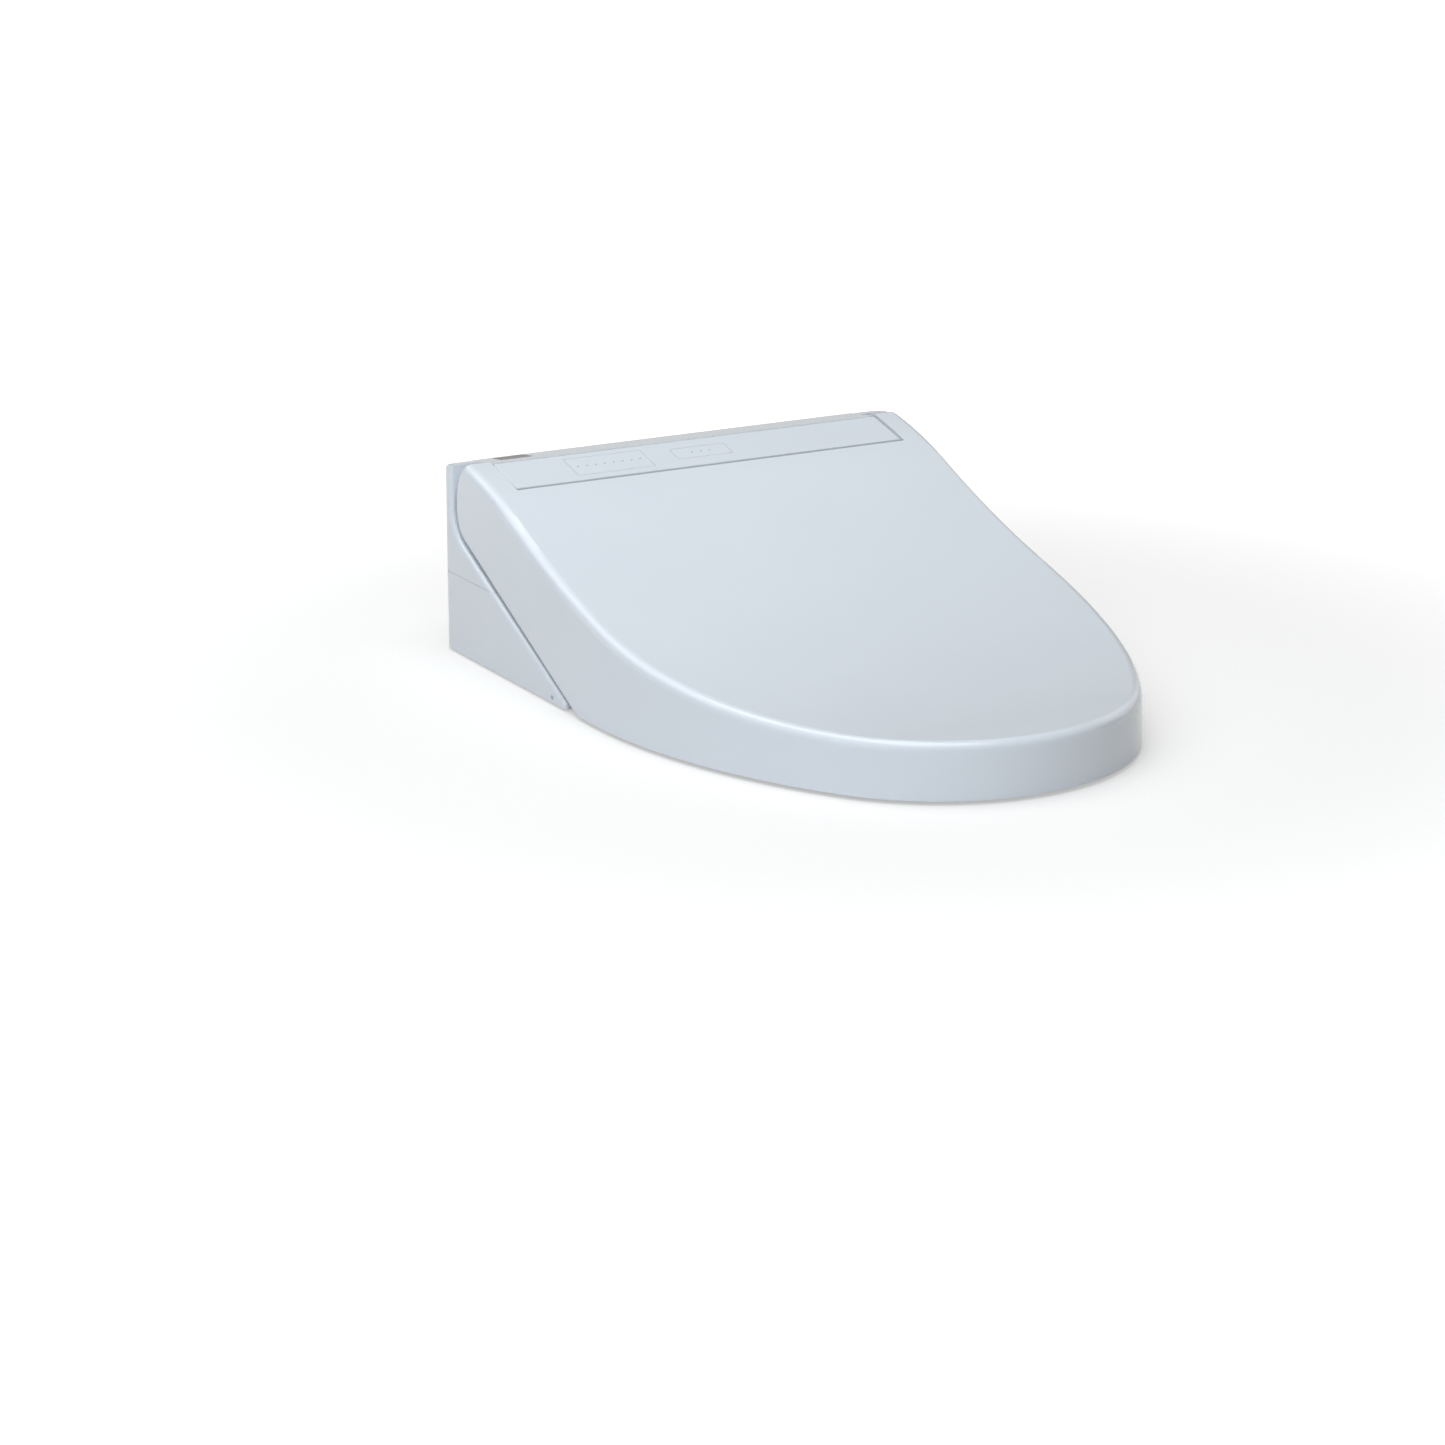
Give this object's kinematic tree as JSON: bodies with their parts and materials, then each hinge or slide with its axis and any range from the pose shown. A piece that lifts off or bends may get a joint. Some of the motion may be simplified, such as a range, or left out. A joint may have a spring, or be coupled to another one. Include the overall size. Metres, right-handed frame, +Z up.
{
  "type": "electric bidet seat",
  "caption": "Low heated toilet seat unit with a deep concave lid, a rear casing that slides onto a bolted plate, a geared spray wand and a warm-air dryer.",
  "frame": {"origin": "midway between the two bolt slots of the mounting plate, on the plane of the bowl's rim", "axes": "+X to the right seen from the front, +Y to the rear, +Z up from the rim plane"},
  "size_m": [0.3828, 0.5309, 0.1462],
  "materials": {
    "casing_white": "glossy",
    "seat_white": "glossy",
    "base_grey": "fine matt",
    "button_grey": "satin",
    "window_grey": "glossy",
    "receiver_dark": "smoked, glossy",
    "rubber_grey": "matt",
    "heater_foil": "foil",
    "steel": "satin",
    "damper_black": "matt",
    "motor_metal": "satin",
    "wand_white": "glossy",
    "tank_plastic": "matt",
    "mica": "matt",
    "brass": "machined",
    "board_green": "satin"
  },
  "bodies": {
    "mount": {"base_plate": "base_grey"},
    "unit": {"lower_case": "casing_white", "upper_case": "casing_white", "side_nose_left": "casing_white", "side_nose_right": "casing_white", "top_panel": "casing_white", "indicator_window": "window_grey", "touch_field": "window_grey", "receiver_window": "receiver_dark", "hinge_pins": "steel", "damper_left": "damper_black", "damper_right": "damper_black", "nozzle_guide": "damper_black", "nozzle_motor": "motor_metal", "dryer_housing": "damper_black", "dryer_motor": "motor_metal", "dryer_heater": "mica", "water_tank": "tank_plastic", "tank_heater": "steel", "spray_pump": "motor_metal", "inlet_valve": "tank_plastic", "water_inlet": "brass", "cord_gland": "damper_black", "control_board": "board_green", "power_supply": "tank_plastic", "case_screws": "steel", "unit_pads": "rubber_grey"},
    "seat": {"seat_top": "seat_white", "seat_base": "base_grey", "seat_heater": "heater_foil", "seat_bumpers": "rubber_grey"},
    "lid": {"lid_shell": "casing_white", "lid_pads": "rubber_grey"},
    "wand": {"nozzle_wand": "wand_white", "nozzle_tip": "wand_white"},
    "pinion": {"drive_pinion": "wand_white"},
    "flap": {"dryer_flap": "wand_white"},
    "impeller": {"dryer_impeller": "wand_white"},
    "filter": {"filter_cartridge": "base_grey"},
    "release": {"release_button": "button_grey"}
  },
  "joints": [
    {"name": "unit_slide", "type": "slide", "parent": "mount", "child": "unit", "axis": [0, -1, 0], "range_m": [0, 0.045]},
    {"name": "seat_hinge", "type": "hinge", "parent": "unit", "child": "seat", "pos_m": [0, 0.001, 0.12], "axis": [-1, 0, 0], "range_deg": [0, 100]},
    {"name": "lid_hinge", "type": "hinge", "parent": "seat", "child": "lid", "pos_m": [0, 0.001, 0.12], "axis": [1, 0, 0], "range_deg": [-105, 0]},
    {"name": "nozzle_slide", "type": "slide", "parent": "unit", "child": "wand", "axis": [0, -0.9613, -0.2756], "range_m": [0, 0.05]},
    {"name": "pinion_spin", "type": "hinge", "parent": "unit", "child": "pinion", "pos_m": [0, -0.02831, 0.051], "axis": [-1, 0, 0], "range_deg": [0, 480]},
    {"name": "flap_hinge", "type": "hinge", "parent": "unit", "child": "flap", "pos_m": [0.085, -0.0865, 0.0259], "axis": [-1, 0, 0], "range_deg": [0, 60]},
    {"name": "impeller_spin", "type": "hinge", "parent": "unit", "child": "impeller", "pos_m": [0.066, 0.008, 0.03], "axis": [0, 0, 1], "continuous": true},
    {"name": "filter_slide", "type": "slide", "parent": "unit", "child": "filter", "axis": [1, 0, 0], "range_m": [0, 0.035]},
    {"name": "release_press", "type": "slide", "parent": "unit", "child": "release", "axis": [-1, 0, 0], "range_m": [0, 0.003], "stiffness_N_per_m": 400, "springref_m": -0.003}
  ],
  "couplings": [
    {"joint": "pinion_spin", "follows": "nozzle_slide", "rad_per_m": 166.67}
  ]
}
